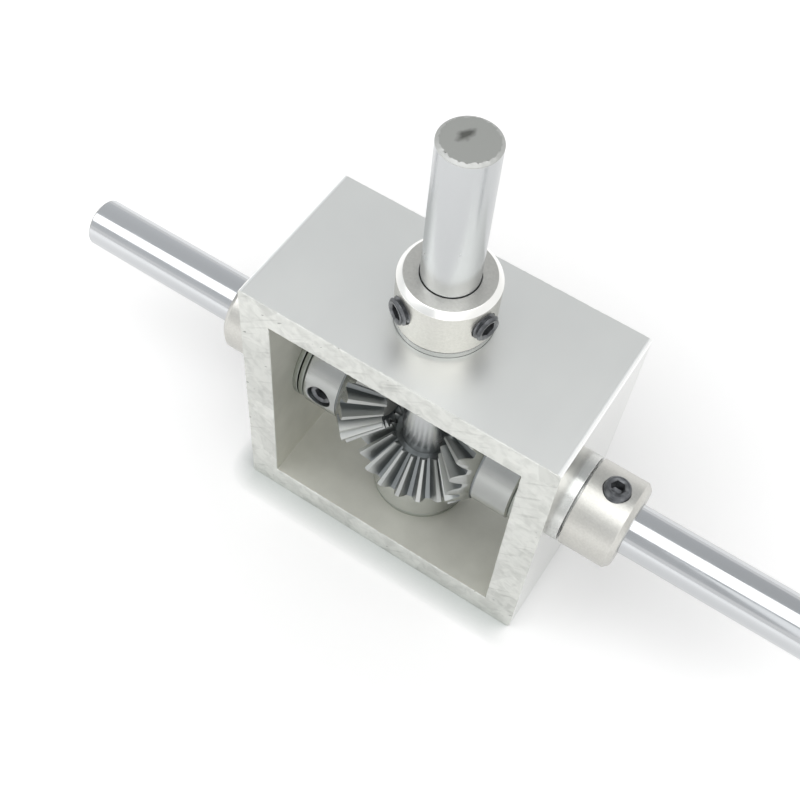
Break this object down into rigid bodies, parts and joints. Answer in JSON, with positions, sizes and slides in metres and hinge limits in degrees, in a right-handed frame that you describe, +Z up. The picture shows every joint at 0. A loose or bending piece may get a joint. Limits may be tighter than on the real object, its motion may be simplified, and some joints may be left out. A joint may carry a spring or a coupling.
{
  "type": "bevel gearbox",
  "caption": "Open bevel gearbox in a slice of square tube: mitre gears join a vertical shaft to opposed side shafts, held by bearings and set-screw collars.",
  "frame": {"origin": "middle of the housing's underside, which stands on the ground", "axes": "+Z up along the vertical shaft, +X along the right-hand side shaft, -Y out of the front opening"},
  "size_m": [0.127, 0.0254, 0.083],
  "materials": {
    "sawn_aluminium": "satin extrusion, sawn ends",
    "turned_aluminium": "bead blasted and anodised",
    "chrome_plated_steel": "ground and plated",
    "machined_steel": "as machined",
    "bearing_steel": "ground",
    "black_oxide_steel": "black oxide"
  },
  "bodies": {
    "housing": {"housing": "sawn_aluminium", "left_bearing_outer_ring": "bearing_steel", "right_bearing_outer_ring": "bearing_steel", "top_bearing_outer_ring": "bearing_steel", "bottom_bearing_outer_ring": "bearing_steel"},
    "vertical_drive": {"vertical_shaft": "chrome_plated_steel", "vertical_gear": "machined_steel", "vertical_gear_set_screw": "black_oxide_steel", "top_bearing_inner_ring": "bearing_steel", "bottom_bearing_inner_ring": "bearing_steel", "top_collar": "turned_aluminium", "top_collar_set_screws": "black_oxide_steel"},
    "left_drive": {"left_shaft": "chrome_plated_steel", "left_gear": "machined_steel", "left_gear_set_screw": "black_oxide_steel", "left_bearing_inner_ring": "bearing_steel", "left_inner_spacer": "bearing_steel", "left_collar": "turned_aluminium", "left_collar_set_screw": "black_oxide_steel"},
    "right_drive": {"right_shaft": "chrome_plated_steel", "right_gear": "machined_steel", "right_gear_set_screw": "black_oxide_steel", "right_bearing_inner_ring": "bearing_steel", "right_inner_spacer": "bearing_steel", "right_collar": "turned_aluminium", "right_collar_set_screw": "black_oxide_steel"}
  },
  "joints": [
    {"name": "vertical_spin", "type": "hinge", "parent": "housing", "child": "vertical_drive", "pos_m": [0, 0, 0.025], "axis": [0, 0, 1], "continuous": true},
    {"name": "left_spin", "type": "hinge", "parent": "housing", "child": "left_drive", "pos_m": [0, 0, 0.025], "axis": [1, 0, 0], "continuous": true},
    {"name": "right_spin", "type": "hinge", "parent": "housing", "child": "right_drive", "pos_m": [0, 0, 0.025], "axis": [1, 0, 0], "continuous": true}
  ],
  "couplings": [
    {"joint": "left_spin", "follows": "vertical_spin", "ratio": -1},
    {"joint": "right_spin", "follows": "vertical_spin", "ratio": 1}
  ]
}
